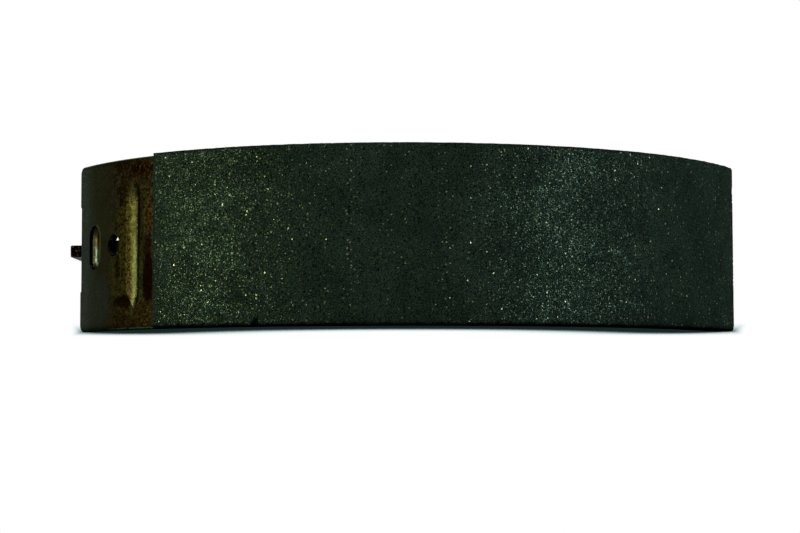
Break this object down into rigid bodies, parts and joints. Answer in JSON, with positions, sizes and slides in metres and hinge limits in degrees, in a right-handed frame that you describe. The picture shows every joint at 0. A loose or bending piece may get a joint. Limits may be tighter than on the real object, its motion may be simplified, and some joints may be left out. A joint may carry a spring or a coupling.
{
  "type": "brake shoe",
  "caption": "Bonded drum brake shoe: curved steel table with a friction lining on its round side and a flat upright web with toe and heel seats, spring holes and a strut notch.",
  "frame": {"origin": "crown of the lining's friction face, on the shoe's middle plane; the drum's axis is 126 mm from it along +Y", "axes": "+X along the shoe from the toe (bare end of the table) to the heel, +Y from the crown of the lining towards the drum's centre, +Z along the drum's axis"},
  "size_m": [0.2232, 0.1059, 0.055],
  "materials": {
    "lining": "matt",
    "shoe_paint": "satin",
    "weld_metal": "satin"
  },
  "bodies": {
    "root": {"friction_lining": "lining", "shoe_table": "shoe_paint", "shoe_web": "shoe_paint", "weld_beads": "weld_metal"}
  },
  "joints": []
}
